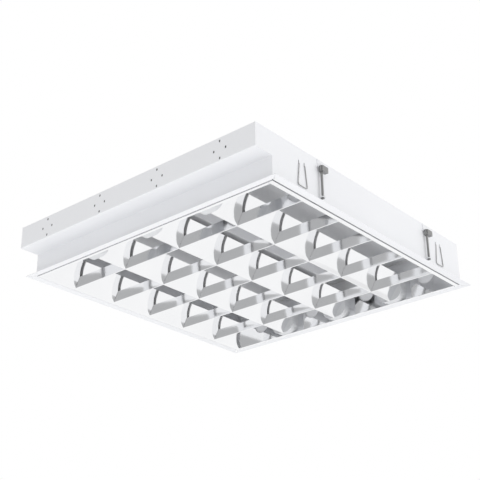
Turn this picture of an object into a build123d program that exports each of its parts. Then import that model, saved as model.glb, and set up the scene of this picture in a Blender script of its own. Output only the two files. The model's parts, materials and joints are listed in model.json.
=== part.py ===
"""Recessed louvred ceiling luminaire for a 600 mm grid, four straight lamps.

Millimetres, +Z up, X along the lamps. The origin is the centre of the flange's underside, the face
that shows in the ceiling. "near" is the -X end with the overhang, "far" the +X end, "front" the -Y
side and "rear" the +Y side.
"""
from build123d import *
from math import atan2, cos, radians, sin, tan
import os

os.makedirs("parts", exist_ok=True)

# ---------------------------------------------------------------- driving dimensions
# housing
flange_side = 597.0  # outside of the square flange
end_reveal = 12.5  # flange outside the two end walls
side_reveal = 15.0  # flange outside the two side plates
housing_height = 87.0
overhang = 40.0
sheet = 0.8
bend_radius = 1.6  # on the middle of the sheet
mitre_gap = 0.5
relief_hole = 3.0
tab_width = 12.0
tab_setback = 6.0

# lamps and their holders
lamp_count = 4
outer_lamp = 73.5  # outer lamps inside the side plates
holder_depth = 9.7
holder_width = 26.0
holder_above = 17.0
holder_below = 19.0
holder_corner = 4.0
holder_top_gap = 4.7  # under the top
holder_floor_gap = 1.2  # above the overhang's floor
holder_hole_width = 3.0
holder_hole_height = 4.6
holder_hole_rise = 15.4
holder_hole_side = 12.5
rotor_radius = 9.5
rotor_thickness = 5.6
rotor_floor = 1.0
pin_slot = 3.2
running_gap = 0.1

# louvre
louvre_end_reveal = 14.4  # flange and gap outside the louvre's ends
louvre_side_reveal = 17.3
louvre_sheet = 0.5
ridge_height = 40.0
ridge_half_width = 40.0
ridge_bottom = 1.0  # half width of the rounded fold
face_bow = 3.9  # how far the faces are hollowed
ridge_end = 20.5  # ridges end inside the louvre's ends
side_lip = 8.5  # flat lip outside the side reflectors
side_web = 14.0
outer_blade = 65.5  # outer blades inside the ridges' ends
blade_count = 5
blade_height = 19.0
blade_half_width = 3.5
blade_gap = 0.3
tab_bottom = 6.0
tab_height = 5.0
tab_depth = 2.0
slot_gap = 0.5
blade_bottom = 0.6  # half width of the fold
blade_bend = 0.4
end_sheet = 0.8
end_height = 48.0
end_lip = 6.0
notch_width = 38.0
notch_bottom = 24.0
cap_width = 56.0
cap_top_gap = 1.2
cap_radius = 20.0
cap_wall = 1.5

# louvre hinge and catches
hinge_inset = 6.5  # axis behind the louvre's outer web
hinge_height = 4.0
hinge_x = 190.0
hinge_pin = 2.6
hanger_width = 10.0
hanger_sheet = 1.5
hanger_bend = 2.0
hanger_top = 20.0
hanger_foot = 16.0
eye_radius = 2.7
eye_wall = 1.0
ear_sheet = 1.0
ear_gap = 1.5
catch_sheet = 0.5
catch_bend = 1.5
catch_width = 16.0
catch_top = 40.0
catch_throat = 3.0

# wire bails on the side plates
bail_x = 210.5
bail_wire = 1.8
bail_top_span = 14.5
bail_bottom_span = 24.7
bail_axis_drop = 29.5  # below the top
bail_drop = 40.5
bail_stub = 5.0
bail_top_bend = 1.4
bail_foot_bend = 4.0
wire_gap = 0.3
bail_slot_rise = 5.0

# screw clamps on the side plates
clamp_x = 163.5
clamp_screw = 4.0
clamp_offset = 5.5  # screw axis outside the side plate
clamp_ear_sheet = 1.2
clamp_ear_width = 9.0
clamp_ear_reach = 3.6
clamp_ear_corner = 2.5
clamp_foot = 8.0
lower_ear_height = 14.0
arm_height = 10.0
arm_drop = 25.0  # arm's lower edge below the top
arm_reach = 12.0
arm_back = 3.0
arm_sheet = 1.2
nut_radius = 3.6
head_flats = 5.0
head_thickness = 2.0
head_slot_width = 1.0
head_slot_depth = 1.0
collar_radius = 3.0
collar_thickness = 1.0
seat_gap = 0.2

# gear
cover_half_width = 36.0
cover_clearance = 6.2  # under the ballast
cover_end = 15.0  # beyond the terminal block
cover_lip = 8.0
ballast_length = 300.0
ballast_width = 48.0
ballast_height = 26.0
ballast_corner = 1.5
ballast_foot = 12.0
ballast_foot_sheet = 1.0
ballast_foot_slot = (7.0, 4.5)
ballast_poles = 8
pole_rise = 0.35
pole_width = 3.4
pole_height = 4.4
pole_depth = 3.0
terminal_gap = 3.0
terminal_length = 20.0
terminal_width = 26.0
terminal_height = 15.0
terminal_screw = 2.2
terminal_screw_depth = 4.0
terminal_mouth = 4.4
terminal_mouth_depth = 5.0
lead_rise = 0.4  # leads leave this far up a terminal block's side
wire_radius = 1.3
earth_bend = 18.0
harness_side = 20.0
stud_inset = 24.0  # from the far end wall
stud_y = -34.0
stud_size = 4.0
stud_length = 12.0
stud_nut = 6.5  # across its flats
stud_nut_height = 3.2
ring_sheet = 0.8
ring_neck = 5.5
ring_turn = -22.0
crimp_length = 6.0
crimp_width = 3.4
grommet_gap = 16.0  # from the ballast's foot
grommet_hole = 20.0
grommet_bore = 9.0
grommet_lip = 2.0
groove_gap = 0.1

# ---------------------------------------------------------------- derived places
half = sheet / 2
flange_half = flange_side / 2
wall_x = flange_half - end_reveal
wall_y = flange_half - side_reveal
body_length = 2 * wall_x
inner_y = wall_y - sheet
near_x = -wall_x - overhang
inner_near = near_x + sheet
inner_far = wall_x - sheet
ceiling = housing_height - sheet
lamp_height = ceiling - holder_top_gap - holder_above
ledge_height = lamp_height - holder_below - holder_floor_gap - sheet
lamp_pitch = 2 * (wall_y - outer_lamp) / (lamp_count - 1)
lamp_rows = [(n - (lamp_count - 1) / 2) * lamp_pitch for n in range(lamp_count)]
louvre_x = flange_half - louvre_end_reveal
louvre_y = flange_half - louvre_side_reveal
louvre_width = 2 * louvre_y
ridge_length = 2 * (louvre_x - ridge_end)
side_edge = louvre_y - side_lip  # lower edge of the two side reflectors
ridge_pitch = 2 * (side_edge - ridge_bottom) / lamp_count
ridge_rows = [(n - (lamp_count - 2) / 2) * ridge_pitch for n in range(lamp_count - 1)]
blade_pitch = (ridge_length - 2 * outer_blade) / (blade_count - 1)
blade_places = [(n - (blade_count - 1) / 2) * blade_pitch for n in range(blade_count)]
end_inner = louvre_x - end_sheet
hinge_y = louvre_y - hinge_inset
cover_bottom = ceiling - ballast_height - cover_clearance
terminal_x = ballast_length / 2 + ballast_foot + terminal_gap + terminal_length / 2
cover_length = 2 * (terminal_x + terminal_length / 2 + cover_end)
stud_x = wall_x - stud_inset
grommet_x = -ballast_length / 2 - ballast_foot - grommet_gap
cap_height = end_height - end_sheet - cap_top_gap
bail_axis_height = housing_height - bail_axis_drop
arm_bottom = housing_height - arm_drop
ends = {"near": -1, "far": 1}
sides = {"front": -1, "rear": 1}


def save(part, name):
    """Label one finished piece and write it."""
    part.label = name
    export_step(part, f"parts/{name}.step")


def face_points(bottom, grow):
    """Lower end, middle and upper end of a hollow louvre face, pushed out by grow."""
    chord = atan2(ridge_half_width - ridge_bottom, ridge_height)
    out, up = grow * cos(chord), -grow * sin(chord)
    middle = (bottom + (ridge_half_width - ridge_bottom) / 2, ridge_height / 2)
    return (
        (bottom + out, up),
        (middle[0] - face_bow * cos(chord) + out, middle[1] + face_bow * sin(chord) + up),
        (bottom + ridge_half_width - ridge_bottom + out, ridge_height + up),
    )


def strip(path, thickness, bend, half_length, plane):
    """Bent sheet or wire-like strip: a path on a plane, thickened evenly and extruded both ways."""
    with BuildSketch(plane) as section:
        with BuildLine():
            FilletPolyline(*path, radius=bend)
        trace(line_width=thickness)
    extrude(section.sketch, amount=half_length, both=True)


# ---------------------------------------------------------------- housing tray
tray_path = [
    (-flange_half, half),
    (-wall_x + half, half),
    (-wall_x + half, ledge_height + half),
    (near_x + half, ledge_height + half),
    (near_x + half, housing_height - half),
    (wall_x - half, housing_height - half),
    (wall_x - half, half),
    (flange_half, half),
]
with BuildPart() as housing_tray:
    strip(tray_path, sheet, bend_radius, inner_y, Plane.XZ)
    with BuildSketch():
        for side in (-1, 1):
            with BuildLine():
                Polyline(
                    (side * (wall_x + bend_radius), -wall_x + mitre_gap),
                    (side * flange_half, -flange_half + mitre_gap),
                    (side * flange_half, flange_half - mitre_gap),
                    (side * (wall_x + bend_radius), wall_x - mitre_gap),
                    close=True,
                )
            make_face()
    extrude(amount=sheet)
    with BuildSketch():
        with Locations(*[(x * wall_x, y * wall_y) for x in (-1, 1) for y in (-1, 1)]):
            Circle(relief_hole / 2)
    extrude(amount=sheet * 2, mode=Mode.SUBTRACT)
    for wall in (near_x, inner_far):
        with BuildSketch(Plane.YZ.offset(wall)):
            with Locations(*[(y, lamp_height) for y in lamp_rows]):
                with Locations(
                    (0, holder_hole_rise),
                    (0, -holder_hole_rise),
                    (holder_hole_side, 0),
                    (-holder_hole_side, 0),
                ):
                    SlotOverall(holder_hole_height, holder_hole_width, rotation=90)
        extrude(amount=sheet, mode=Mode.SUBTRACT)
    with BuildSketch(Plane.XY.offset(ceiling)):
        with Locations((grommet_x, 0)):
            Circle(grommet_hole / 2)
        with Locations((stud_x, stud_y)):
            Circle(stud_size / 2)
    extrude(amount=sheet, mode=Mode.SUBTRACT)
save(housing_tray.part, "housing_tray")

# ---------------------------------------------------------------- side plates
plate_outline = [
    (-wall_x, 0),
    (-wall_x, ledge_height),
    (near_x, ledge_height),
    (near_x, housing_height),
    (wall_x, housing_height),
    (wall_x, 0),
]
bail_slot_width = bail_wire + 2 * wire_gap
bail_slot_height = bail_wire + 2 * wire_gap + bail_slot_rise
for name, side in sides.items():
    with BuildPart() as end_plate:
        flange_path = [
            (side * flange_half, half),
            (side * (wall_y - half), half),
            (side * (wall_y - half), ledge_height),
        ]
        strip(flange_path, sheet, bend_radius, wall_x, Plane.YZ)
        with BuildSketch(Plane.XY):
            for end in (-1, 1):
                with BuildLine():
                    Polyline(
                        (end * wall_x, side * wall_y),
                        (end * (flange_half + mitre_gap), side * wall_y),
                        (end * (flange_half + mitre_gap), side * flange_half),
                        (end * (flange_half - mitre_gap), side * flange_half),
                        (end * (wall_y - mitre_gap), side * wall_y),
                        close=True,
                    )
                make_face()
        corners = extrude(amount=sheet, mode=Mode.PRIVATE)
        with BuildSketch(Plane.XZ.offset(-side * inner_y)) as plate_face:
            with BuildLine():
                Polyline(*plate_outline, close=True)
            make_face()
            with Locations((0, bend_radius / 2)):
                Rectangle(body_length, bend_radius, mode=Mode.SUBTRACT)
        extrude(amount=-side * sheet)
        with BuildSketch(Plane.XY):
            with BuildLine():
                Polyline(
                    (-flange_half + mitre_gap, side * flange_half),
                    (-wall_y + mitre_gap, side * (wall_y + bend_radius)),
                    (wall_y - mitre_gap, side * (wall_y + bend_radius)),
                    (flange_half - mitre_gap, side * flange_half),
                    close=True,
                )
            make_face()
        extrude(amount=sheet)
        add(corners, mode=Mode.SUBTRACT)
        with BuildSketch():
            with Locations((-wall_x, side * wall_y), (wall_x, side * wall_y)):
                Circle(relief_hole / 2)
        extrude(amount=sheet * 2, mode=Mode.SUBTRACT)
        # tabs folded inwards lie on the tray's skin
        with BuildSketch(Plane.XY.offset(ceiling)):
            with Locations(((near_x + wall_x) / 2, side * (inner_y - tab_width / 2))):
                Rectangle(wall_x - near_x - 2 * tab_setback, tab_width)
        extrude(amount=-sheet)
        for wall, turn in ((inner_near, 1), (inner_far, -1)):
            with BuildSketch(Plane.YZ.offset(wall)):
                with Locations((side * (inner_y - tab_width / 2), (ledge_height + housing_height) / 2)):
                    Rectangle(tab_width, ledge_height - 3 * tab_setback)
            extrude(amount=turn * sheet)
        # slots that the bails hook through
        with BuildSketch(Plane.XZ.offset(-side * inner_y)):
            for x in (-bail_x, bail_x):
                slot_middle = bail_axis_height - bail_slot_width / 2 + bail_slot_height / 2
                with Locations((x - bail_top_span / 2, slot_middle), (x + bail_top_span / 2, slot_middle)):
                    Rectangle(bail_slot_width, bail_slot_height)
        extrude(amount=-side * sheet, mode=Mode.SUBTRACT)
    save(end_plate.part, f"end_plate_{name}")

# ---------------------------------------------------------------- gear
half_cover = cover_half_width - half
cover_path = [
    (-cover_half_width - cover_lip, ceiling - half),
    (-half_cover, ceiling - half),
    (-half_cover, cover_bottom + half),
    (half_cover, cover_bottom + half),
    (half_cover, ceiling - half),
    (cover_half_width + cover_lip, ceiling - half),
]
with BuildPart() as gear_cover:
    strip(cover_path, sheet, bend_radius, cover_length / 2, Plane.YZ)
save(gear_cover.part, "gear_cover")

with BuildPart() as ballast:
    with BuildSketch(Plane.XY.offset(ceiling)):
        RectangleRounded(ballast_length, ballast_width, ballast_corner)
    extrude(amount=-ballast_height)
    with BuildSketch(Plane.XY.offset(ceiling)) as feet:
        RectangleRounded(ballast_length + 2 * ballast_foot, ballast_width / 2, 2 * ballast_corner)
        with Locations((-(ballast_length + ballast_foot) / 2, 0), ((ballast_length + ballast_foot) / 2, 0)):
            SlotOverall(*ballast_foot_slot, mode=Mode.SUBTRACT)
    extrude(amount=-ballast_foot_sheet)
    # terminal rows recessed at both ends, one way for each lead
    for end in (-1, 1):
        with BuildSketch(Plane.YZ.offset(end * ballast_length / 2)):
            with GridLocations(ballast_width / (ballast_poles + 1), 1, ballast_poles, 1):
                with Locations((0, ceiling - ballast_height * (1 - pole_rise))):
                    Rectangle(pole_width, pole_height)
        extrude(amount=-end * pole_depth, mode=Mode.SUBTRACT)
save(ballast.part, "ballast")

with BuildPart() as terminal_block:
    with BuildSketch(Plane.XY.offset(ceiling)):
        with Locations((terminal_x, 0)):
            Rectangle(terminal_length, terminal_width)
    extrude(amount=-terminal_height)
    with BuildSketch(Plane.XY.offset(ceiling - terminal_height)):
        with Locations((terminal_x, 0)):
            with GridLocations(terminal_length / 2, terminal_width / 3, 2, 3):
                Circle(terminal_screw)
    extrude(amount=terminal_screw_depth, mode=Mode.SUBTRACT)
    with BuildSketch(Plane.YZ.offset(terminal_x + terminal_length / 2)):
        with GridLocations(terminal_width / 3, 1, 3, 1):
            with Locations((0, ceiling - terminal_height * (1 - lead_rise))):
                Rectangle(terminal_mouth, terminal_mouth)
    extrude(amount=-terminal_mouth_depth, mode=Mode.SUBTRACT)
save(terminal_block.part, "terminal_block")

with BuildPart() as cable_grommet:
    with BuildSketch(Plane.XZ):
        with BuildLine():
            Polyline(
                (grommet_x + grommet_bore / 2, ceiling - grommet_lip),
                (grommet_x + grommet_hole / 2 + grommet_lip, ceiling - grommet_lip),
                (grommet_x + grommet_hole / 2 + grommet_lip, ceiling - groove_gap),
                (grommet_x + grommet_hole / 2 - groove_gap, ceiling - groove_gap),
                (grommet_x + grommet_hole / 2 - groove_gap, housing_height + groove_gap),
                (grommet_x + grommet_hole / 2 + grommet_lip, housing_height + groove_gap),
                (grommet_x + grommet_hole / 2, housing_height + grommet_lip),
                (grommet_x + grommet_bore / 2, housing_height + grommet_lip),
                close=True,
            )
        make_face()
    revolve(axis=Axis((grommet_x, 0, 0), (0, 0, 1)))
save(cable_grommet.part, "cable_grommet")

ring_height = ceiling - stud_nut_height - ring_sheet - running_gap
with BuildPart() as earth_stud:
    with BuildSketch(Plane.XY.offset(housing_height)):
        with Locations((stud_x, stud_y)):
            Circle(stud_size / 2)
    extrude(amount=-stud_length)
    with BuildSketch(Plane.XY.offset(ceiling)):
        with Locations((stud_x, stud_y)):
            RegularPolygon(stud_nut / 2, 6, major_radius=False)
    extrude(amount=-stud_nut_height)
    with BuildSketch(Plane.XY.offset(ring_height - running_gap)):
        with Locations((stud_x, stud_y)):
            RegularPolygon(stud_nut / 2, 6, major_radius=False)
    extrude(amount=-stud_nut_height)
save(earth_stud.part, "earth_stud")

# the earth lead runs from the terminal block to a ring under the stud's nut
lead_start = (terminal_x + terminal_length / 2 + seat_gap, -terminal_width / 3)
lead_height = ceiling - terminal_height * (1 - lead_rise)
ring_start = (stud_x - ring_neck, stud_y + ring_neck * tan(radians(-ring_turn)), ring_height + ring_sheet / 2)
lead_run = [end - start for end, start in zip(ring_start, (*lead_start, lead_height))]
earth_route = [(*lead_start, lead_height)]
for along, across, sag in ((0.22, 0.04, 0.32), (0.53, 0.3, 0.51), (0.81, 0.7, 0.22)):
    earth_route.append(
        (
            lead_start[0] + along * lead_run[0],
            lead_start[1] + across * lead_run[1],
            lead_height - sag * terminal_height,
        )
    )
earth_route.append(ring_start)
with BuildPart() as earth_wire:
    with BuildLine():
        FilletPolyline(*earth_route, radius=earth_bend)
    with BuildSketch(Plane.YZ.offset(lead_start[0])):
        with Locations((lead_start[1], lead_height)):
            Circle(wire_radius)
    sweep()
    with BuildSketch(Plane.XY.offset(ring_height)):
        with Locations((stud_x, stud_y)):
            Circle(stud_size)
        with Locations(Location((ring_start[0], ring_start[1], 0), (0, 0, ring_turn))):
            Rectangle(crimp_length, crimp_width)
        with Locations((stud_x, stud_y)):
            Circle(stud_size / 2 + running_gap, mode=Mode.SUBTRACT)
    extrude(amount=ring_sheet)
save(earth_wire.part, "earth_wire")

# lamp leads: a feed from the ballast along each end, then across above the holders
lead_line = lamp_height + holder_above + wire_radius + seat_gap
cross_near = inner_near + holder_depth / 2
cross_far = inner_far - holder_depth / 2
with BuildPart() as lamp_wiring:
    for turn, cross in ((-1, cross_near), (1, cross_far)):
        with BuildSketch(Plane.YZ.offset(turn * (ballast_length / 2 + seat_gap))):
            with Locations((harness_side, lead_line)):
                Circle(wire_radius)
        extrude(amount=turn * (abs(cross) - ballast_length / 2 - seat_gap))
        with BuildSketch(Plane.XZ.offset(-lamp_rows[0] + holder_width / 2)):
            with Locations((cross, lead_line)):
                Circle(wire_radius)
        extrude(amount=-(lamp_rows[-1] - lamp_rows[0] + holder_width))
save(lamp_wiring.part, "lamp_wiring")

# ---------------------------------------------------------------- lamp holders
for end_name, end in ends.items():
    wall = inner_near if end < 0 else inner_far
    face = wall - end * holder_depth
    rotor_face = face + end * running_gap
    for row, y in enumerate(lamp_rows, start=1):
        with BuildPart() as holder:
            with BuildSketch(Plane.YZ.offset(wall)):
                with Locations((y, lamp_height + (holder_above - holder_below + holder_width / 2) / 2)):
                    Rectangle(holder_width, holder_above + holder_below - holder_width / 2)
                with Locations((y, lamp_height - holder_below + holder_width / 2)):
                    Circle(holder_width / 2)
            extrude(amount=-end * holder_depth)
            fillet(holder.edges().group_by(Axis.Z)[-1].filter_by(Axis.X), holder_corner)
            with BuildSketch(Plane.YZ.offset(face)):
                with Locations((y, lamp_height)):
                    Circle(rotor_radius + running_gap)
                with Locations((y, lamp_height - holder_below / 2)):
                    Rectangle(pin_slot, holder_below)
            extrude(amount=end * (rotor_thickness + 2 * running_gap), mode=Mode.SUBTRACT)
        save(holder.part, f"lampholder_{end_name}_{row}")
        with BuildPart() as rotor:
            with BuildSketch(Plane.YZ.offset(rotor_face)):
                with Locations((y, lamp_height)):
                    Circle(rotor_radius)
            extrude(amount=end * rotor_thickness)
            with BuildSketch(Plane.YZ.offset(rotor_face)):
                with Locations((y, lamp_height)):
                    Rectangle(pin_slot, 2 * rotor_radius)
            extrude(amount=end * (rotor_thickness - rotor_floor), mode=Mode.SUBTRACT)
        save(rotor.part, f"lamp_rotor_{end_name}_{row}")

# ---------------------------------------------------------------- louvre ridges


def hollow_face(bottom, turn, y0):
    """Skin of one hollow face, its lower edge bottom away from y0, on the side given by turn."""
    low, middle, high = face_points(bottom, 0)
    low_in, middle_in, high_in = face_points(bottom, -louvre_sheet)
    with BuildLine() as rim:
        ThreePointArc(*[(y0 + turn * y, z) for y, z in (low, middle, high)])
        Line((y0 + turn * high[0], high[1]), (y0 + turn * high_in[0], high_in[1]))
        ThreePointArc(*[(y0 + turn * y, z) for y, z in (high_in, middle_in, low_in)])
        Line((y0 + turn * low_in[0], low_in[1]), (y0 + turn * low[0], low[1]))
    return make_face(rim.edges())


def face_at(height):
    """Distance of a hollow face from its ridge's middle plane at a height."""
    low, middle, high = face_points(ridge_bottom, 0)
    chord = (high[0] - low[0]) ** 2 + high[1] ** 2
    radius = (chord / 4 + face_bow**2) / (2 * face_bow)
    lean = atan2(high[0] - low[0], high[1])
    centre_y = middle[0] + radius * cos(lean)
    centre_z = middle[1] - radius * sin(lean)
    return centre_y - (radius**2 - (height - centre_z) ** 2) ** 0.5


slot_height = tab_height + 2 * slot_gap
slot_middle_height = tab_bottom + tab_height / 2
leaf_spread = blade_half_width * (tab_bottom + tab_height) / blade_height
slot_width = 2 * (leaf_spread + slot_gap)
tab_middle = face_at(slot_middle_height)
for number, y0 in enumerate(ridge_rows, start=1):
    with BuildPart() as louvre_ridge:
        with BuildSketch(Plane.YZ) as section:
            hollow_face(ridge_bottom, 1, y0)
            hollow_face(ridge_bottom, -1, y0)
            with Locations((y0, louvre_sheet / 2)):
                Rectangle(2 * ridge_bottom, louvre_sheet)
        extrude(amount=ridge_length / 2, both=True)
        with Locations(*[(x, y0, slot_middle_height) for x in blade_places]):
            Box(slot_width, ridge_half_width, slot_height, mode=Mode.SUBTRACT)
    save(louvre_ridge.part, f"louvre_ridge_{number}")

# ---------------------------------------------------------------- side reflectors
ear_inset = hanger_width / 2 + ear_gap
notch_half = ear_inset + ear_sheet + ear_gap
ear_height = hinge_height + eye_radius + eye_wall
for name, side in sides.items():
    with BuildPart() as side_reflector:
        with BuildSketch(Plane.YZ):
            hollow_face(ridge_bottom, -side, side * (side_edge + ridge_bottom))
            with Locations((side * (side_edge + louvre_y) / 2, louvre_sheet / 2)):
                Rectangle(louvre_y - side_edge, louvre_sheet)
            with Locations((side * (louvre_y - louvre_sheet / 2), side_web / 2)):
                Rectangle(louvre_sheet, side_web)
        extrude(amount=end_inner, both=True)
        slot_y = side * (side_edge + ridge_bottom - tab_middle)
        with Locations(*[(x, slot_y, slot_middle_height) for x in blade_places]):
            Box(slot_width, 4 * tab_depth, slot_height, mode=Mode.SUBTRACT)
        if side > 0:
            # windows for the fixed hangers, and two ears beside each to carry its pin
            with BuildSketch(Plane.XZ.offset(-louvre_y + 2 * louvre_sheet)):
                with Locations((-hinge_x, side_web / 2), (hinge_x, side_web / 2)):
                    with Locations((0, louvre_sheet)):
                        Rectangle(2 * notch_half, side_web)
            extrude(amount=-3 * louvre_sheet, mode=Mode.SUBTRACT)
            for x in (-hinge_x, hinge_x):
                for beside in (-1, 1):
                    with BuildSketch(Plane.YZ.offset(x + beside * ear_inset)):
                        with BuildLine():
                            Polyline(
                                (side_edge + ear_gap, louvre_sheet / 2),
                                (louvre_y - louvre_sheet, louvre_sheet / 2),
                                (louvre_y - louvre_sheet, hinge_height),
                                (hinge_y + eye_radius, ear_height),
                                (hinge_y - eye_radius / 2, ear_height),
                                close=True,
                            )
                        make_face()
                        with Locations((hinge_y, hinge_height)):
                            Circle(hinge_pin / 2 + running_gap, mode=Mode.SUBTRACT)
                    extrude(amount=beside * ear_sheet)
    save(side_reflector.part, f"side_reflector_{name}")

# ---------------------------------------------------------------- cross blades
row_edges = [-side_edge - ridge_bottom] + ridge_rows + [side_edge + ridge_bottom]
leaf = louvre_sheet / 2
for number, x in enumerate(blade_places, start=1):
    with BuildPart() as cross_blade:
        with BuildSketch(Plane.XZ):
            with BuildLine():
                FilletPolyline(
                    (x - blade_half_width, blade_height),
                    (x - blade_bottom, leaf),
                    (x + blade_bottom, leaf),
                    (x + blade_half_width, blade_height),
                    radius=blade_bend,
                )
            trace(line_width=louvre_sheet)
        extrude(amount=side_edge, both=True)
        with BuildSketch(Plane.YZ.offset(x)):
            for start, stop in zip(row_edges[:-1], row_edges[1:]):
                rise = face_points(ridge_bottom, blade_gap)
                with BuildLine():
                    left = ThreePointArc(*[(start + y, z) for y, z in rise])
                    right = ThreePointArc(*[(stop - y, z) for y, z in rise])
                    Line(left @ 0, right @ 0)
                    Line(left @ 1, right @ 1)
                make_face()
                for edge, turn in ((start, 1), (stop, -1)):
                    with Locations((edge + turn * tab_middle, slot_middle_height)):
                        Rectangle(2 * tab_depth, tab_height)
        extrude(amount=2 * blade_half_width, both=True, mode=Mode.INTERSECT)
    save(cross_blade.part, f"cross_blade_{number}")

# ---------------------------------------------------------------- louvre ends and ridge caps
for end_name, end in ends.items():
    with BuildPart() as louvre_end:
        with BuildSketch(Plane.YZ.offset(end * end_inner)):
            with Locations((0, end_height / 2)):
                Rectangle(louvre_width, end_height)
            for y in lamp_rows:
                notch_middle = notch_bottom + notch_width / 2
                with Locations((y, notch_middle)):
                    Circle(notch_width / 2, mode=Mode.SUBTRACT)
                with Locations((y, end_height)):
                    Rectangle(notch_width, 2 * (end_height - notch_middle), mode=Mode.SUBTRACT)
        extrude(amount=end * end_sheet)
        with BuildSketch():
            with Locations((end * (louvre_x - end_lip / 2), 0)):
                Rectangle(end_lip, 2 * (side_edge - ridge_bottom))
        extrude(amount=end_sheet)
    save(louvre_end.part, f"louvre_end_{end_name}")

cap_face = ridge_length / 2
with BuildPart() as ridge_caps:
    for end in (-1, 1):
        with BuildSketch(Plane.YZ.offset(end * cap_face)) as outer:
            with Locations(*[(y, end_sheet + cap_height / 2) for y in ridge_rows]):
                Rectangle(cap_width, cap_height)
            fillet(outer.vertices().group_by(Axis.Y)[0], cap_radius)
        extrude(amount=end * (end_inner - cap_face))
        with BuildSketch(Plane.YZ.offset(end * (cap_face + cap_wall))) as inner:
            with Locations(*[(y, end_sheet + cap_height / 2) for y in ridge_rows]):
                Rectangle(cap_width - 2 * cap_wall, cap_height - 2 * cap_wall)
            fillet(inner.vertices().group_by(Axis.Y)[0], cap_radius - cap_wall)
        extrude(amount=end * (end_inner - cap_face), mode=Mode.SUBTRACT)
save(ridge_caps.part, "ridge_caps")

# ---------------------------------------------------------------- louvre hangers and catches
with BuildPart() as louvre_hangers:
    for x in (-hinge_x, hinge_x):
        with BuildSketch(Plane.YZ.offset(x)) as section:
            with BuildLine():
                FilletPolyline(
                    (inner_y - hanger_sheet / 2, hanger_top + hanger_foot),
                    (inner_y - hanger_sheet / 2, hanger_top),
                    (hinge_y, hanger_top),
                    (hinge_y, hinge_height),
                    radius=hanger_bend,
                )
            trace(line_width=hanger_sheet)
            with Locations((hinge_y, hinge_height)):
                Circle(eye_radius)
        extrude(section.sketch, amount=hanger_width / 2, both=True)
        with BuildSketch(Plane.YZ.offset(x)) as section:
            with Locations((hinge_y, hinge_height)):
                Circle(hinge_pin / 2)
        extrude(section.sketch, amount=notch_half - ear_gap / 2, both=True)
save(louvre_hangers.part, "louvre_hangers")

catch_back = -inner_y + catch_sheet / 2
with BuildPart() as louvre_catches:
    for x in (-hinge_x, hinge_x):
        with BuildSketch(Plane.YZ.offset(x)) as section:
            with BuildLine():
                FilletPolyline(
                    (catch_back, catch_top),
                    (catch_back, side_web + catch_throat),
                    (-louvre_y - wire_gap - catch_sheet, side_web / 2),
                    (catch_back, hinge_height),
                    radius=catch_bend,
                )
            trace(line_width=catch_sheet)
        extrude(section.sketch, amount=catch_width / 2, both=True)
save(louvre_catches.part, "louvre_catches")

# ---------------------------------------------------------------- wire bails
for name, side in sides.items():
    inside = side * (inner_y - wire_gap - bail_wire / 2)
    outside = side * (wall_y + wire_gap + bail_wire / 2)
    low = bail_axis_height - bail_drop
    for number, x in enumerate((-bail_x, bail_x), start=1):
        half_top = bail_top_span / 2
        half_foot = bail_bottom_span / 2
        with BuildPart() as wire_bail:
            with BuildLine() as wire:
                FilletPolyline(
                    (x - half_top + bail_stub, inside, bail_axis_height),
                    (x - half_top, inside, bail_axis_height),
                    (x - half_top, outside, bail_axis_height),
                    (x - half_foot, outside, low),
                    (x + half_foot, outside, low),
                    (x + half_top, outside, bail_axis_height),
                    (x + half_top, inside, bail_axis_height),
                    (x + half_top - bail_stub, inside, bail_axis_height),
                    radius=2 * [bail_top_bend] + 2 * [bail_foot_bend] + 2 * [bail_top_bend],
                )
            with BuildSketch(Plane.YZ.offset(x - half_top + bail_stub)):
                with Locations((inside, bail_axis_height)):
                    Circle(bail_wire / 2)
            sweep()
        save(wire_bail.part, f"wire_bail_{name}_{number}")

# ---------------------------------------------------------------- screw clamps
clamps = {}
for name, side in sides.items():
    for number, x in enumerate((-clamp_x, clamp_x), start=1):
        clamps[f"{name}_{number}"] = (x, side * (wall_y + clamp_offset), -side)

lower_ear_top = lower_ear_height + clamp_ear_sheet
upper_ear_height = arm_bottom + arm_height + wire_gap
foot_middle = clamp_offset - clamp_ear_sheet / 2
with BuildPart() as clamp_ears:
    for x, y, turn in clamps.values():
        for level, foot_turn in ((lower_ear_height, -1), (upper_ear_height, 1)):
            ear_plane = Plane(origin=(x, y, level), x_dir=(turn, 0, 0), z_dir=(0, 0, 1))
            with BuildSketch(ear_plane) as ear:
                with Locations((0, (clamp_offset - clamp_ear_reach) / 2)):
                    Rectangle(clamp_ear_width, clamp_offset + clamp_ear_reach)
                fillet(ear.vertices().group_by(Axis.Y)[0], clamp_ear_corner)
                Circle(clamp_screw / 2 + running_gap, mode=Mode.SUBTRACT)
            extrude(amount=clamp_ear_sheet)
            reach = clamp_foot if foot_turn < 0 else housing_height - upper_ear_height - sheet
            with BuildSketch(ear_plane):
                with Locations((0, foot_middle)):
                    Rectangle(clamp_ear_width, clamp_ear_sheet)
            extrude(amount=foot_turn * reach)
save(clamp_ears.part, "clamp_ears")

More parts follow.
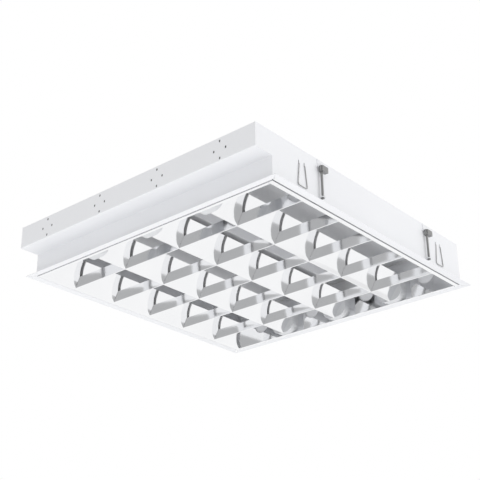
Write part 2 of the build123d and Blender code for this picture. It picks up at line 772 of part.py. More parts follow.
head_bottom = lower_ear_height - seat_gap - head_thickness
screw_top = upper_ear_height + clamp_ear_sheet + collar_thickness
plate_radius = nut_radius + wire_gap
web_outer = plate_radius + arm_sheet
for name, (x, y, turn) in clamps.items():
    with BuildPart() as screw:
        with BuildSketch(Plane.XY.offset(head_bottom)):
            with Locations((x, y)):
                RegularPolygon(head_flats / 2, 6, major_radius=False)
        extrude(amount=head_thickness)
        with BuildSketch(Plane.XY.offset(head_bottom)):
            with Locations((x, y)):
                Circle(clamp_screw / 2)
        extrude(amount=screw_top - head_bottom)
        with BuildSketch(Plane.XY.offset(lower_ear_top + seat_gap)):
            with Locations((x, y)):
                Circle(collar_radius)
        extrude(amount=collar_thickness)
        with BuildSketch(Plane.XY.offset(head_bottom)):
            with Locations((x, y)):
                Rectangle(2 * head_flats, head_slot_width)
        extrude(amount=head_slot_depth, mode=Mode.SUBTRACT)
    save(screw.part, f"clamp_screw_{name}")

    nut_plane = Plane(origin=(x, y, arm_bottom + arm_sheet + seat_gap), x_dir=(turn, 0, 0), z_dir=(0, 0, 1))
    with BuildPart() as nut:
        with BuildSketch(nut_plane):
            Circle(nut_radius)
            Circle(clamp_screw / 2 + running_gap, mode=Mode.SUBTRACT)
        extrude(amount=arm_height - 2 * (arm_sheet + seat_gap))
    save(nut.part, f"clamp_nut_{name}")

    with BuildPart() as arm:
        for level in (arm_bottom, arm_bottom + arm_height - arm_sheet):
            with BuildSketch(Plane(origin=(x, y, level), x_dir=(turn, 0, 0), z_dir=(0, 0, 1))):
                Circle(plate_radius)
                with Locations(((arm_reach - arm_back) / 2, -web_outer / 2)):
                    Rectangle(arm_reach + arm_back, web_outer)
                with Locations((arm_reach / 2, arm_sheet)):
                    Rectangle(arm_reach, 2 * arm_sheet)
                Circle(clamp_screw / 2 + running_gap, mode=Mode.SUBTRACT)
            extrude(amount=arm_sheet)
        with BuildSketch(Plane(origin=(x, y, arm_bottom), x_dir=(turn, 0, 0), z_dir=(0, 0, 1))):
            with Locations(((arm_reach - arm_back) / 2, -web_outer + arm_sheet / 2)):
                Rectangle(arm_reach + arm_back, arm_sheet)
        extrude(amount=arm_height)
    save(arm.part, f"clamp_arm_{name}")
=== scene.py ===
"""Dressed view of a recessed louvre luminaire, seen from below at one corner."""

import json
from math import cos, pi, radians, sin

import bmesh
import bpy
from mathutils import Matrix, Vector


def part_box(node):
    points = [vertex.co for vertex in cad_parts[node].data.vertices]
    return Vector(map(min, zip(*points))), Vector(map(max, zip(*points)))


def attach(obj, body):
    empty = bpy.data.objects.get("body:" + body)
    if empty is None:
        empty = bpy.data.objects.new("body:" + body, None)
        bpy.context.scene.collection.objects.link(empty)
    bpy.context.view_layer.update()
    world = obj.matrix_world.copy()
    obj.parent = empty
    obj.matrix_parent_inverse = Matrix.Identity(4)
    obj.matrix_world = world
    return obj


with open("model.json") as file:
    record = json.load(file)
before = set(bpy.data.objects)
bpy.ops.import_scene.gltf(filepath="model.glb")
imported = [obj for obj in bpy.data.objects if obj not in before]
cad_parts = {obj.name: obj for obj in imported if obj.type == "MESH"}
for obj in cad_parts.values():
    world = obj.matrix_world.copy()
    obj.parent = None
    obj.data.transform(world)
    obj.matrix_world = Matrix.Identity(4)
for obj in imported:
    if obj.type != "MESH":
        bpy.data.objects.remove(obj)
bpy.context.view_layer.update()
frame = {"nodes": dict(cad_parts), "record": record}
NODES = frame["nodes"]
MM = 0.001

# small pieces, metres
SMOOTH_ANGLE = radians(35)
SHEET = 0.8 * MM
THREAD_PITCH = 0.7 * MM
THREAD_STEPS = 16  # in a turn
SHANK_RADIUS = 2 * MM
RIDGE_RADIUS = 0.2 * MM  # of the triangle that winds round the shank
RIDGE_RISE = -0.03 * MM  # of that triangle's middle above the shank
RIDGE_STRETCH = 1.5  # of that triangle along the screw
THREAD_START = 6 * MM  # above the screw's lower end
THREAD_END = 2.4 * MM  # below its upper end
HOLDER_ABOVE = 17 * MM  # of a holder's lamp axis below its top
CLIP_PLACES = [(0, 15.4 * MM), (0, -15.4 * MM), (12.5 * MM, 0), (-12.5 * MM, 0)]
CLIP_WIDTH = 2.7 * MM
CLIP_HEIGHT = 4.3 * MM
CLIP_DEPTH = 0.45 * MM
CLIP_SINK = 0.2 * MM  # below the wall's skin
CLIP_ROUND = 0.35 * MM  # rounded rim of its nose
CLIP_NOSE = 0.12 * MM
CLIP_RIM = 0.3 * MM
CLIP_HOLLOW = 0.25 * MM
RIVET_RADIUS = 3.2 * MM
RIVET_HEIGHT = 1.1 * MM
RIVET_ROUND = 0.7 * RIVET_HEIGHT
RIVET_RING = 0.25 * RIVET_RADIUS  # flat ring round the mandrel's hole
RIVET_HOLE_EDGE = 0.05 * RIVET_RADIUS
RIVET_HOLE_DEPTH = 0.6 * RIVET_HEIGHT
FOOT_HOLE = 6 * MM  # from the ballast's feet's ends
COVER_RIVET = 4 * MM  # from the gear cover's edges
COVER_RIVETS = (0.1, 0.5, 0.9)  # along the gear cover
CONTACT_HEIGHT = 12 * MM
CONTACT_DEPTH = 3.6 * MM
CONTACT_STEPS = 8
CONTACT_CURL = 0.5 * MM
CONTACT_APART = 1.2 * MM  # of each leaf from the slot's middle
CONTACT_SHEET = 0.2 * MM
CONTACT_BACK = 0.4 * MM  # towards the rotor's floor

# the picture
PICTURE = 480  # pixels, square
CAMERA_AZIMUTH = radians(40.5)  # of the line of sight, from +X towards +Y
CAMERA_ELEVATION = radians(25.05)  # looking up
CAMERA_ROLL = radians(-0.64)
CAMERA_DISTANCE = 1.941
CAMERA_OFFSET = (0.0223, 0.0776)  # right and down in the picture, metres at the object
FOCAL_PIXELS = 1027
SENSOR = 36.0

# the room
FLOOR_DROP = 2.6
ROOM_LIGHT = 0.73
HORIZON_LIGHT = 0.8
HORIZON_BAND = (0.15, 0.45)  # sines of elevation where it begins and ends to brighten
CARD_GREY = 0.5
CARD_AZIMUTH = radians(217)
CARD_DISTANCE = 1.35
CARD_WIDTH = 2.1
CARD_TOP = 0.9
CARD_FOOT = -1.4
SIDE_LAMP = {"place": (0.6, -2.6, -0.2), "aim": (0, 0, 0), "size": 2.4, "watts": 22}
LOW_LAMP = {"place": (-0.6, 0.0, -1.3), "aim": (-0.2, 0, 0), "size": 3.0, "watts": 17.5}


# ---------------------------------------------------------------- node helpers
def new_group(name, inputs, outputs):
    """Shader node group with float inputs {name: default} and outputs {name: socket type}."""
    group = bpy.data.node_groups.new(name, "ShaderNodeTree")
    for label, default in inputs.items():
        socket = group.interface.new_socket(label, in_out="INPUT", socket_type="NodeSocketFloat")
        socket.default_value = default
    for label, kind in outputs.items():
        group.interface.new_socket(label, in_out="OUTPUT", socket_type=kind)
    ins = group.nodes.new("NodeGroupInput")
    outs = group.nodes.new("NodeGroupOutput")
    return group, ins, outs


def fine_grain_group():
    """Small noise on object coordinates, stretched by Stretch along X: a mask and a height."""
    inputs = {"Scale": 400.0, "Stretch": 1.0, "Detail": 3.0}
    group, ins, outs = new_group("fine_grain", inputs, {"Mask": "NodeSocketFloat"})
    nodes, links = group.nodes, group.links
    coords = nodes.new("ShaderNodeTexCoord")
    split = nodes.new("ShaderNodeSeparateXYZ")
    shrink = nodes.new("ShaderNodeMath")
    shrink.operation = "DIVIDE"
    join = nodes.new("ShaderNodeCombineXYZ")
    noise = nodes.new("ShaderNodeTexNoise")
    links.new(coords.outputs["Object"], split.inputs[0])
    links.new(split.outputs["X"], shrink.inputs[0])
    links.new(ins.outputs["Stretch"], shrink.inputs[1])
    links.new(shrink.outputs[0], join.inputs["X"])
    links.new(split.outputs["Y"], join.inputs["Y"])
    links.new(split.outputs["Z"], join.inputs["Z"])
    links.new(join.outputs[0], noise.inputs["Vector"])
    links.new(ins.outputs["Scale"], noise.inputs["Scale"])
    links.new(ins.outputs["Detail"], noise.inputs["Detail"])
    links.new(noise.outputs["Fac"], outs.inputs["Mask"])
    return group


def edge_wear_group():
    """Worn, rubbed or gathered edges: 1 within Width of a corner, broken up by noise of Scale."""
    inputs = {"Width": 0.0006, "Scale": 300.0, "Strength": 0.5}
    group, ins, outs = new_group("edge_wear", inputs, {"Mask": "NodeSocketFloat"})
    nodes, links = group.nodes, group.links
    rounded = nodes.new("ShaderNodeBevel")
    rounded.samples = 4
    surface = nodes.new("ShaderNodeNewGeometry")
    meet = nodes.new("ShaderNodeVectorMath")
    meet.operation = "DOT_PRODUCT"
    corner = nodes.new("ShaderNodeMapRange")
    corner.inputs["From Min"].default_value = 0.995
    corner.inputs["From Max"].default_value = 0.9
    coords = nodes.new("ShaderNodeTexCoord")
    noise = nodes.new("ShaderNodeTexNoise")
    patches = nodes.new("ShaderNodeMapRange")
    patches.inputs["From Min"].default_value = 0.4
    patches.inputs["From Max"].default_value = 0.62
    worn = nodes.new("ShaderNodeMath")
    worn.operation = "MULTIPLY"
    weight = nodes.new("ShaderNodeMath")
    weight.operation = "MULTIPLY"
    links.new(ins.outputs["Width"], rounded.inputs["Radius"])
    links.new(rounded.outputs["Normal"], meet.inputs[0])
    links.new(surface.outputs["Normal"], meet.inputs[1])
    links.new(meet.outputs["Value"], corner.inputs["Value"])
    links.new(coords.outputs["Object"], noise.inputs["Vector"])
    links.new(ins.outputs["Scale"], noise.inputs["Scale"])
    links.new(noise.outputs["Fac"], patches.inputs["Value"])
    links.new(corner.outputs["Result"], worn.inputs[0])
    links.new(patches.outputs["Result"], worn.inputs[1])
    links.new(worn.outputs[0], weight.inputs[0])
    links.new(ins.outputs["Strength"], weight.inputs[1])
    links.new(weight.outputs[0], outs.inputs["Mask"])
    return group


def dust_group():
    """Fine dust on faces that look up, in soft clouds."""
    inputs = {"Scale": 30.0, "Strength": 0.5}
    group, ins, outs = new_group("settled_dust", inputs, {"Mask": "NodeSocketFloat"})
    nodes, links = group.nodes, group.links
    surface = nodes.new("ShaderNodeNewGeometry")
    split = nodes.new("ShaderNodeSeparateXYZ")
    upward = nodes.new("ShaderNodeMapRange")
    upward.inputs["From Min"].default_value = 0.6
    upward.inputs["From Max"].default_value = 0.95
    coords = nodes.new("ShaderNodeTexCoord")
    noise = nodes.new("ShaderNodeTexNoise")
    noise.inputs["Detail"].default_value = 6.0
    patches = nodes.new("ShaderNodeMapRange")
    patches.inputs["From Min"].default_value = 0.35
    patches.inputs["From Max"].default_value = 0.7
    lying = nodes.new("ShaderNodeMath")
    lying.operation = "MULTIPLY"
    weight = nodes.new("ShaderNodeMath")
    weight.operation = "MULTIPLY"
    links.new(surface.outputs["Normal"], split.inputs[0])
    links.new(split.outputs["Z"], upward.inputs["Value"])
    links.new(coords.outputs["Object"], noise.inputs["Vector"])
    links.new(ins.outputs["Scale"], noise.inputs["Scale"])
    links.new(noise.outputs["Fac"], patches.inputs["Value"])
    links.new(upward.outputs["Result"], lying.inputs[0])
    links.new(patches.outputs["Result"], lying.inputs[1])
    links.new(lying.outputs[0], weight.inputs[0])
    links.new(ins.outputs["Strength"], weight.inputs[1])
    links.new(weight.outputs[0], outs.inputs["Mask"])
    return group


FINE_GRAIN = fine_grain_group()
EDGE_WEAR = edge_wear_group()
SETTLED_DUST = dust_group()


def place_group(tree, group, **values):
    """Put a group into a material with its own values and give its mask."""
    node = tree.nodes.new("ShaderNodeGroup")
    node.node_tree = group
    for label, value in values.items():
        node.inputs[label].default_value = value
    return node.outputs["Mask"]


def grain_node(tree, scale, stretch=1.0, detail=3.0):
    return place_group(tree, FINE_GRAIN, Scale=scale, Stretch=stretch, Detail=detail)


def spread(tree, mask, low, high):
    """Map a mask onto a range of values."""
    node = tree.nodes.new("ShaderNodeMapRange")
    node.inputs["From Min"].default_value = 0.3
    node.inputs["From Max"].default_value = 0.7
    node.inputs["To Min"].default_value = low
    node.inputs["To Max"].default_value = high
    tree.links.new(mask, node.inputs["Value"])
    return node.outputs["Result"]


def cover(tree, mask, below, above):
    """Lay the colour above over the colour below where the mask is 1; each a colour or a socket."""
    node = tree.nodes.new("ShaderNodeMix")
    node.data_type = "RGBA"
    for label, colour in (("A", below), ("B", above)):
        if isinstance(colour, tuple):
            node.inputs[label].default_value = (*colour, 1)
        else:
            tree.links.new(colour, node.inputs[label])
    tree.links.new(mask, node.inputs["Factor"])
    return node.outputs["Result"]


def between(tree, mask, low, high):
    """Value low where the mask is 0 and high where it is 1; each a number or a socket."""
    node = tree.nodes.new("ShaderNodeMix")
    for label, value in (("A", low), ("B", high)):
        if isinstance(value, float):
            node.inputs[label].default_value = value
        else:
            tree.links.new(value, node.inputs[label])
    tree.links.new(mask, node.inputs["Factor"])
    return node.outputs["Result"]


def unpolished_side(tree):
    """1 on the strip's mill-finished side, which looks up when shut, and 0 on its bright side."""
    surface = tree.nodes.new("ShaderNodeTexCoord")
    split = tree.nodes.new("ShaderNodeSeparateXYZ")
    side = tree.nodes.new("ShaderNodeMath")
    side.operation = "GREATER_THAN"
    side.inputs[1].default_value = 0.05
    tree.links.new(surface.outputs["Normal"], split.inputs[0])
    tree.links.new(split.outputs["Z"], side.inputs[0])
    return side.outputs[0]


def tint(tree, mask, dark, light):
    """Blend two colours by a noise mask."""
    return cover(tree, spread(tree, mask, 0, 1), dark, light)


def new_material(name, metallic=0.0, ior=1.5):
    material = bpy.data.materials.new(name)
    material.use_nodes = True
    shader = material.node_tree.nodes["Principled BSDF"]
    shader.inputs["Metallic"].default_value = metallic
    shader.inputs["IOR"].default_value = ior
    return material, material.node_tree, shader


def finish_surface(tree, shader, colour, rough, height=None, depth=0.0, distance=0.0001):
    tree.links.new(colour, shader.inputs["Base Color"])
    tree.links.new(rough, shader.inputs["Roughness"])
    if height is not None:
        bump = tree.nodes.new("ShaderNodeBump")
        bump.inputs["Strength"].default_value = depth
        bump.inputs["Distance"].default_value = distance
        tree.links.new(height, bump.inputs["Height"])
        tree.links.new(bump.outputs["Normal"], shader.inputs["Normal"])


# ---------------------------------------------------------------- finishes
def enamel(name, light, dark, rough=(0.42, 0.52)):
    """Satin powder enamel on folded steel: slight clouding, orange peel, rubbed edges, dust on top."""
    material, tree, shader = new_material(name)
    cloud = grain_node(tree, 6.0, detail=4.0)
    peel = grain_node(tree, 900.0, detail=2.0)
    rubbed = place_group(tree, EDGE_WEAR, Width=0.0007, Scale=180.0, Strength=0.35)
    dust = place_group(tree, SETTLED_DUST, Scale=55.0, Strength=0.22)
    colour = cover(tree, rubbed, tint(tree, cloud, dark, light), grey(0.74))
    colour = cover(tree, dust, colour, (0.66, 0.65, 0.62))
    finish_surface(tree, shader, colour, spread(tree, cloud, *rough), peel, 0.2)
    return material


def mirror_aluminium(name, light, dark, rough):
    """Bright anodised strip, rolled along X, with cloudy smears and dulled cut edges."""
    material, tree, shader = new_material(name, metallic=1.0)
    rolling = grain_node(tree, 700.0, stretch=60.0)
    cloud = grain_node(tree, 14.0, detail=4.0)
    cut = place_group(tree, EDGE_WEAR, Width=0.0004, Scale=250.0, Strength=0.5)
    colour = cover(tree, cut, tint(tree, cloud, dark, light), grey(0.72))
    back = unpolished_side(tree)
    colour = cover(tree, back, colour, grey(0.84))
    tree.links.new(between(tree, back, 1.0, 0.2), shader.inputs["Metallic"])
    bright = spread(tree, rolling, *rough)
    finish_surface(tree, shader, colour, between(tree, back, bright, 0.4), rolling, 0.04)
    return material


def moulded(name, light, dark, rough):
    """Moulded plastic with a fine eroded texture and paler rubbed corners."""
    material, tree, shader = new_material(name)
    cloud = grain_node(tree, 25.0)
    texture = grain_node(tree, 1400.0)
    rubbed = place_group(tree, EDGE_WEAR, Width=0.0005, Scale=400.0, Strength=0.3)
    paler = tuple(min(1.0, 1.15 * part + 0.02) for part in light)
    colour = cover(tree, rubbed, tint(tree, cloud, dark, light), paler)
    finish_surface(tree, shader, colour, spread(tree, texture, *rough), texture, 0.15)
    return material


def plated(name, light, dark, rough):
    """Plated steel or brass: crystalline mottling, brighter corners, dull dust on top."""
    material, tree, shader = new_material(name, metallic=1.0)
    cloud = grain_node(tree, 90.0, detail=5.0)
    bright = place_group(tree, EDGE_WEAR, Width=0.0003, Scale=600.0, Strength=0.6)
    dust = place_group(tree, SETTLED_DUST, Scale=60.0, Strength=0.25)
    brighter = tuple(min(1.0, 1.3 * part) for part in light)
    colour = cover(tree, bright, tint(tree, cloud, dark, light), brighter)
    colour = cover(tree, dust, colour, tuple(0.8 * part for part in dark))
    finish_surface(tree, shader, colour, spread(tree, cloud, *rough), cloud, 0.1)
    return material


def two_colour_lead(name, upper, lower):
    """Earth lead's insulation: one colour along its upper side and the other below."""
    material, tree, shader = new_material(name)
    surface = tree.nodes.new("ShaderNodeNewGeometry")
    split = tree.nodes.new("ShaderNodeSeparateXYZ")
    stripe = tree.nodes.new("ShaderNodeMapRange")
    stripe.inputs["From Min"].default_value = -0.35
    stripe.inputs["From Max"].default_value = -0.25
    texture = grain_node(tree, 1400.0)
    tree.links.new(surface.outputs["Normal"], split.inputs[0])
    tree.links.new(split.outputs["Z"], stripe.inputs["Value"])
    colour = cover(tree, stripe.outputs["Result"], lower, upper)
    grime = spread(tree, grain_node(tree, 60.0), 0.0, 0.25)
    colour = cover(tree, grime, colour, (0.4, 0.42, 0.2))
    finish_surface(tree, shader, colour, spread(tree, texture, 0.35, 0.45), texture, 0.1)
    return material


def grey(value):
    return (value, value, value)


MATERIALS = {
    "white_enamel": enamel("white_enamel", (0.868, 0.876, 0.898), (0.852, 0.86, 0.884)),
    "mirror_louvre": mirror_aluminium(
        "mirror_louvre", (0.93, 0.935, 0.945), (0.9, 0.905, 0.918), (0.07, 0.11)
    ),
    "cap_plastic": moulded("cap_plastic", (0.7, 0.71, 0.73), (0.66, 0.67, 0.69), (0.3, 0.4)),
    "holder_plastic": moulded("holder_plastic", (0.72, 0.74, 0.74), (0.69, 0.7, 0.71), (0.25, 0.35)),
    "rotor_plastic": moulded("rotor_plastic", (0.62, 0.63, 0.64), (0.58, 0.6, 0.61), (0.25, 0.35)),
    "ballast_case": enamel("ballast_case", grey(0.8), grey(0.77), (0.4, 0.5)),
    "terminal_plastic": moulded("terminal_plastic", grey(0.7), grey(0.66), (0.35, 0.45)),
    "grommet_rubber": moulded("grommet_rubber", grey(0.03), grey(0.02), (0.6, 0.75)),
    "stud_brass": plated("stud_brass", (0.85, 0.66, 0.32), (0.72, 0.55, 0.26), (0.2, 0.35)),
    "earth_insulation": two_colour_lead("earth_insulation", (0.12, 0.42, 0.08), (0.72, 0.74, 0.06)),
    "lead_insulation": moulded("lead_insulation", grey(0.75), grey(0.7), (0.4, 0.5)),
    "bail_wire": plated("bail_wire", grey(0.62), grey(0.5), (0.25, 0.4)),
    "spring_steel": plated("spring_steel", grey(0.6), grey(0.5), (0.25, 0.4)),
    "clamp_zinc": plated("clamp_zinc", grey(0.4), grey(0.3), (0.35, 0.5)),
}
# near-black clip colour: painted shade that stands in for the shade inside the end walls' holes
CLIP_PAINTED_SHADE = moulded("clip_painted_shade", grey(0.07), grey(0.045), (0.4, 0.5))


def dress_nodes():
    for part in frame["record"]["subparts"]:
        mesh = NODES[part["node"]].data
        mesh.materials.clear()
        mesh.materials.append(MATERIALS[part["material_slot"]])


# ---------------------------------------------------------------- small pieces
def finished(piece, name, body, material):
    """Name a piece, settle its place into its mesh and hand it to its body."""
    piece.name = name
    bpy.ops.object.select_all(action="DESELECT")
    piece.select_set(True)
    bpy.context.view_layer.objects.active = piece
    bpy.ops.object.transform_apply(location=True, rotation=True, scale=True)
    bpy.ops.object.shade_smooth_by_angle(angle=SMOOTH_ANGLE)
    piece.data.materials.clear()
    piece.data.materials.append(material)
    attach(piece, body)


def copy_of(pattern, shift):
    """Copy of a piece with its own mesh, moved by shift."""
    piece = pattern.copy()
    piece.data = pattern.data.copy()
    bpy.context.collection.objects.link(piece)
    piece.location = shift
    return piece


def snap_clip_pattern():
    """Split foot of a lamp holder's snap clip, its rounded nose towards -X."""
    bpy.ops.object.select_all(action="DESELECT")
    bpy.ops.mesh.primitive_cylinder_add(
        vertices=16, radius=CLIP_WIDTH / 2, depth=CLIP_DEPTH, rotation=(0, -pi / 2, 0)
    )
    clip = bpy.context.object
    bpy.ops.object.transform_apply(location=True, rotation=True, scale=True)
    bpy.ops.object.mode_set(mode="EDIT")
    mesh = bmesh.from_edit_mesh(clip.data)
    for half in (-1, 1):
        for vertex in mesh.verts:
            vertex.select = vertex.co.z * half > 0.0001
        mesh.select_flush_mode()
        bmesh.update_edit_mesh(clip.data)
        bpy.ops.transform.translate(value=(0, 0, half * (CLIP_HEIGHT - CLIP_WIDTH) / 2))
    for face in mesh.faces:
        face.select = face.normal.x < -0.9
    bmesh.update_edit_mesh(clip.data)
    bpy.ops.mesh.inset(thickness=CLIP_ROUND)
    bpy.ops.transform.translate(value=(-CLIP_NOSE, 0, 0))
    bpy.ops.mesh.inset(thickness=CLIP_RIM)
    bpy.ops.transform.translate(value=(CLIP_HOLLOW, 0, 0))
    bpy.ops.mesh.select_all(action="DESELECT")
    bpy.ops.object.mode_set(mode="OBJECT")
    return clip


def build_snap_clips():
    """Snap clips of the lamp holders in the slots of both end walls, just inside the skin; their
    near-black colour is painted shade for the dark holes, not the clips' own colour.
    """
    pattern = snap_clip_pattern()
    near_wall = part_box("housing_tray")[0][0]
    far_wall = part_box("lampholder_far_1")[1][0] + SHEET
    for end, wall, turn in (("near", near_wall, 1), ("far", far_wall, -1)):
        for row in range(1, 5):
            holder_low, holder_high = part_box(f"lampholder_{end}_{row}")
            middle_y = (holder_low[1] + holder_high[1]) / 2
            middle_z = holder_high[2] - HOLDER_ABOVE
            for place, (aside, rise) in enumerate(CLIP_PLACES, start=1):
                clip = copy_of(pattern, (0, 0, 0))
                if turn < 0:
                    clip.rotation_euler = (0, 0, pi)
                shift = turn * (CLIP_DEPTH / 2 + CLIP_SINK)
                clip.location = (wall + shift, middle_y + aside, middle_z + rise)
                name = f"snap_clip_{end}_{row}_{place}"
                finished(clip, name, "housing", CLIP_PAINTED_SHADE)
    bpy.data.objects.remove(pattern)


def rivet_pattern():
    """Blind rivet: a low domed head with the hole its mandrel left."""
    bpy.ops.object.select_all(action="DESELECT")
    bpy.ops.mesh.primitive_cylinder_add(
        vertices=24, radius=RIVET_RADIUS, depth=RIVET_HEIGHT, location=(0, 0, RIVET_HEIGHT / 2)
    )
    rivet = bpy.context.object
    bpy.ops.object.transform_apply(location=True, rotation=True, scale=True)
    bpy.ops.object.mode_set(mode="EDIT")
    mesh = bmesh.from_edit_mesh(rivet.data)
    for edge in mesh.edges:
        edge.select = all(vertex.co.z > RIVET_HEIGHT * 0.9 for vertex in edge.verts)
    bmesh.update_edit_mesh(rivet.data)
    bpy.ops.mesh.bevel(offset=RIVET_ROUND, segments=4)
    bpy.ops.mesh.select_all(action="DESELECT")
    mesh = bmesh.from_edit_mesh(rivet.data)
    for face in mesh.faces:
        face.select = face.normal.z > 0.99
    bmesh.update_edit_mesh(rivet.data)
    bpy.ops.mesh.inset(thickness=RIVET_RING)
    bpy.ops.mesh.inset(thickness=RIVET_HOLE_EDGE)
    bpy.ops.transform.translate(value=(0, 0, -RIVET_HOLE_DEPTH))
    bpy.ops.mesh.select_all(action="DESELECT")
    bpy.ops.object.mode_set(mode="OBJECT")
    return rivet


def build_rivets():
    """Rivets through the top that hold the ballast, the terminal block and the gear cover."""
    pattern = rivet_pattern()
    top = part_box("end_plate_front")[1][2]
    ballast_low, ballast_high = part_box("ballast")
    cover_low, cover_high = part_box("gear_cover")
    block_low, block_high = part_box("terminal_block")
    places = [(ballast_low[0] + FOOT_HOLE, 0), (ballast_high[0] - FOOT_HOLE, 0)]
    places.append(((block_low[0] + block_high[0]) / 2, 0))
    for along in COVER_RIVETS:
        for side in (cover_low[1] + COVER_RIVET, cover_high[1] - COVER_RIVET):
            places.append((cover_low[0] + along * (cover_high[0] - cover_low[0]), side))
    for number, place in enumerate(places, start=1):
        rivet = copy_of(pattern, (*place, top))
        finished(rivet, f"top_rivet_{number}", "housing", MATERIALS["clamp_zinc"])
    bpy.data.objects.remove(pattern)


def thread_pattern(turns):
    """Ridge of a screw thread that winds up round a shank on Z, closed at both ends."""
    bpy.ops.object.select_all(action="DESELECT")
    bpy.ops.mesh.primitive_circle_add(
        vertices=3,
        radius=RIDGE_RADIUS,
        rotation=(pi / 2, pi / 2, 0),
        location=(SHANK_RADIUS + RIDGE_RISE, 0, 0),
    )
    ridge = bpy.context.object
    bpy.ops.object.transform_apply(location=True, rotation=True, scale=True)
    ridge.scale = (1, 1, RIDGE_STRETCH)
    bpy.ops.object.transform_apply(location=True, rotation=True, scale=True)
    wind = ridge.modifiers.new("wind", "SCREW")
    wind.axis = "Z"
    wind.screw_offset = THREAD_PITCH
    wind.iterations = turns
    wind.steps = THREAD_STEPS
    wind.render_steps = THREAD_STEPS
    bpy.ops.object.modifier_apply(modifier="wind")
    bpy.ops.object.mode_set(mode="EDIT")
    bpy.ops.mesh.select_all(action="SELECT")
    bpy.ops.mesh.fill_holes(sides=3)
    bpy.ops.mesh.normals_make_consistent(inside=False)
    bpy.ops.mesh.select_all(action="DESELECT")
    bpy.ops.object.mode_set(mode="OBJECT")
    return ridge


def build_threads():
    """Threads of the clamp screws between their ears, turning with them."""
    low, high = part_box("clamp_screw_front_1")
    turns = int((high[2] - low[2] - THREAD_START - THREAD_END) / THREAD_PITCH)
    pattern = thread_pattern(turns)
    for place in ("front_1", "front_2", "rear_1", "rear_2"):
        low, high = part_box(f"clamp_screw_{place}")
        foot = ((low[0] + high[0]) / 2, (low[1] + high[1]) / 2, low[2] + THREAD_START)
        thread = copy_of(pattern, foot)
        zinc = MATERIALS["clamp_zinc"]
        finished(thread, f"screw_thread_{place}", f"screw_{place}", zinc)
    bpy.data.objects.remove(pattern)


def contact_pattern():
    """Pair of spring leaves in a holder's slot, curled where the lamp's pins press on them."""
    bpy.ops.object.select_all(action="DESELECT")
    bpy.ops.mesh.primitive_plane_add(size=1, rotation=(0, pi / 2, 0), location=(0, 0, 0))
    leaf = bpy.context.object
    leaf.scale = (CONTACT_HEIGHT, CONTACT_DEPTH, 1)
    bpy.ops.object.transform_apply(location=True, rotation=True, scale=True)
    leaf.rotation_euler = (0, 0, pi / 2)
    bpy.ops.object.transform_apply(location=True, rotation=True, scale=True)
    bpy.ops.object.mode_set(mode="EDIT")
    bpy.ops.mesh.subdivide(number_cuts=CONTACT_STEPS - 1)
    mesh = bmesh.from_edit_mesh(leaf.data)
    for step in range(CONTACT_STEPS + 1):
        along = step / CONTACT_STEPS - 0.5
        level = along * CONTACT_HEIGHT
        for vertex in mesh.verts:
            vertex.select = abs(vertex.co.z - level) < CONTACT_HEIGHT / 30
        mesh.select_flush_mode()
        bmesh.update_edit_mesh(leaf.data)
        bpy.ops.transform.translate(value=(0, CONTACT_CURL * cos(along * pi), 0))
    bpy.ops.mesh.select_all(action="DESELECT")
    bpy.ops.object.mode_set(mode="OBJECT")
    leaf.location = (0, -CONTACT_APART, 0)
    bpy.ops.object.transform_apply(location=True, rotation=True, scale=True)
    mirror = leaf.modifiers.new("pair", "MIRROR")
    mirror.use_axis = (False, True, False)
    mirror.use_clip = False
    shell = leaf.modifiers.new("sheet", "SOLIDIFY")
    shell.thickness = CONTACT_SHEET
    for modifier in ("pair", "sheet"):
        bpy.ops.object.modifier_apply(modifier=modifier)
    return leaf


def build_contacts():
    """Bronze contact leaves in every rotor, turning with it."""
    pattern = contact_pattern()
    for end in ("near", "far"):
        for row in range(1, 5):
            name = f"rotor_{end}_{row}"
            low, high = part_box(f"lamp_{name}")
            middle = [(low[axis] + high[axis]) / 2 for axis in range(3)]
            floor_side = -1 if end == "near" else 1
            shift = (middle[0] + floor_side * CONTACT_BACK, middle[1], middle[2])
            leaves = copy_of(pattern, shift)
            finished(leaves, f"contact_leaves_{end}_{row}", name, MATERIALS["stud_brass"])
    bpy.data.objects.remove(pattern)


# ---------------------------------------------------------------- room, lamps and camera
def shine(tree, brightness):
    """White emission for what the mirrors see."""
    node = tree.nodes.new("ShaderNodeEmission")
    node.inputs["Strength"].default_value = brightness
    return node


def build_world():
    """Even white light; mirrors see a greyer band along the horizon than below or above."""
    world = bpy.data.worlds.new("studio")
    bpy.context.scene.world = world
    world.use_nodes = True
    tree = world.node_tree
    nodes, links = tree.nodes, tree.links
    shader = nodes["Background"]
    path = nodes.new("ShaderNodeLightPath")
    coords = nodes.new("ShaderNodeTexCoord")
    split = nodes.new("ShaderNodeSeparateXYZ")
    links.new(coords.outputs["Generated"], split.inputs[0])
    height = nodes.new("ShaderNodeMath")
    height.operation = "ABSOLUTE"
    links.new(split.outputs["Z"], height.inputs[0])
    band = nodes.new("ShaderNodeMapRange")
    band.interpolation_type = "SMOOTHSTEP"
    band.inputs["From Min"].default_value = HORIZON_BAND[0]
    band.inputs["From Max"].default_value = HORIZON_BAND[1]
    band.inputs["To Min"].default_value = HORIZON_LIGHT
    band.inputs["To Max"].default_value = 1.0
    links.new(height.outputs[0], band.inputs["Value"])
    mirrored = nodes.new("ShaderNodeMix")
    mirrored.inputs["A"].default_value = ROOM_LIGHT
    links.new(band.outputs["Result"], mirrored.inputs["B"])
    links.new(path.outputs["Is Glossy Ray"], mirrored.inputs["Factor"])
    seen = nodes.new("ShaderNodeMix")
    seen.inputs["B"].default_value = 1.0
    links.new(mirrored.outputs["Result"], seen.inputs["A"])
    links.new(path.outputs["Is Camera Ray"], seen.inputs["Factor"])
    links.new(seen.outputs["Result"], shader.inputs["Strength"])
    shader.inputs["Color"].default_value = (1, 1, 1, 1)


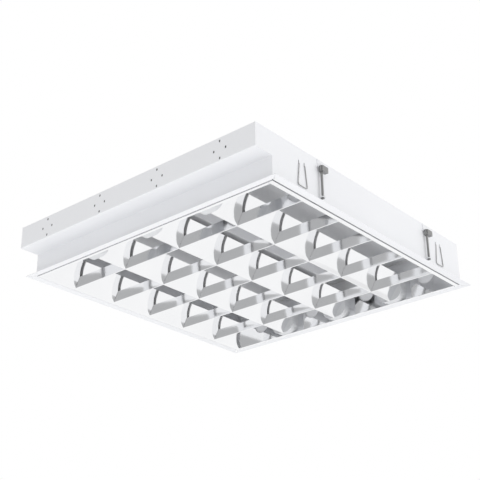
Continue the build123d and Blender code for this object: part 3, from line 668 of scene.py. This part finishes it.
def build_floor():
    bpy.ops.object.select_all(action="DESELECT")
    bpy.ops.mesh.primitive_plane_add(size=14, location=(0, 0, -FLOOR_DROP))
    floor = bpy.context.object
    floor.name = "floor"
    material, tree, shader = new_material("floor_paint")
    cloud = grain_node(tree, 3.0)
    paint = tint(tree, cloud, grey(0.86), grey(0.88))
    finish_surface(tree, shader, paint, spread(tree, cloud, 0.7, 0.8))
    path = tree.nodes.new("ShaderNodeLightPath")
    blend = tree.nodes.new("ShaderNodeMixShader")
    tree.links.new(path.outputs["Is Glossy Ray"], blend.inputs["Fac"])
    tree.links.new(shader.outputs[0], blend.inputs[1])
    tree.links.new(shine(tree, 1.0).outputs[0], blend.inputs[2])
    tree.links.new(blend.outputs[0], tree.nodes["Material Output"].inputs["Surface"])
    floor.data.materials.append(material)


def build_card():
    """Upright grey card on the camera's side that only the mirrors show."""
    along, aside = CARD_DISTANCE * cos(CARD_AZIMUTH), CARD_DISTANCE * sin(CARD_AZIMUTH)
    place = (along, aside, (CARD_TOP + CARD_FOOT) / 2)
    bpy.ops.object.select_all(action="DESELECT")
    bpy.ops.mesh.primitive_plane_add(size=1, rotation=(pi / 2, 0, CARD_AZIMUTH + pi / 2), location=place)
    card = bpy.context.object
    card.name = "card"
    card.scale = (CARD_WIDTH, CARD_TOP - CARD_FOOT, 1)
    bpy.ops.object.transform_apply(location=True, rotation=True, scale=True)
    material, tree, _ = new_material("card_paper")
    path = tree.nodes.new("ShaderNodeLightPath")
    blend = tree.nodes.new("ShaderNodeMixShader")
    clear = tree.nodes.new("ShaderNodeBsdfTransparent")
    tree.links.new(path.outputs["Is Glossy Ray"], blend.inputs["Fac"])
    tree.links.new(clear.outputs[0], blend.inputs[1])
    tree.links.new(shine(tree, CARD_GREY).outputs[0], blend.inputs[2])
    tree.links.new(blend.outputs[0], tree.nodes["Material Output"].inputs["Surface"])
    card.data.materials.append(material)


def add_lamp(name, place, aim, size, watts):
    """Square lamp at place, turned towards aim, that neither camera nor mirrors see."""
    bpy.ops.object.select_all(action="DESELECT")
    bpy.ops.object.light_add(type="AREA", location=place)
    lamp = bpy.context.object
    lamp.name = name
    lamp.data.size = size
    lamp.data.energy = watts
    lamp.visible_camera = False
    lamp.visible_glossy = False
    lamp.rotation_euler = (Vector(aim) - Vector(place)).to_track_quat("-Z", "Y").to_euler()


def build_camera():
    """Camera below one corner of the flange, looking up at it."""
    forward = Vector(
        (
            cos(CAMERA_ELEVATION) * cos(CAMERA_AZIMUTH),
            cos(CAMERA_ELEVATION) * sin(CAMERA_AZIMUTH),
            sin(CAMERA_ELEVATION),
        )
    )
    level = forward.cross(Vector((0, 0, 1))).normalized()
    rise = level.cross(forward)
    right = level * cos(CAMERA_ROLL) + rise * sin(CAMERA_ROLL)
    up = -level * sin(CAMERA_ROLL) + rise * cos(CAMERA_ROLL)
    place = -right * CAMERA_OFFSET[0] + up * CAMERA_OFFSET[1] - forward * CAMERA_DISTANCE
    bpy.ops.object.camera_add()
    camera = bpy.context.object
    turn = Matrix((right, up, -forward)).transposed().to_4x4()
    camera.matrix_world = Matrix.Translation(place) @ turn
    camera.data.sensor_width = SENSOR
    camera.data.lens = FOCAL_PIXELS / PICTURE * SENSOR
    camera.data.clip_start = 0.05
    bpy.context.scene.camera = camera


dress_nodes()
build_snap_clips()
build_rivets()
build_threads()
build_contacts()
build_world()
build_floor()
build_card()
add_lamp("side_lamp", **SIDE_LAMP)
add_lamp("low_lamp", **LOW_LAMP)
build_camera()
bpy.context.scene.view_settings.view_transform = "Standard"
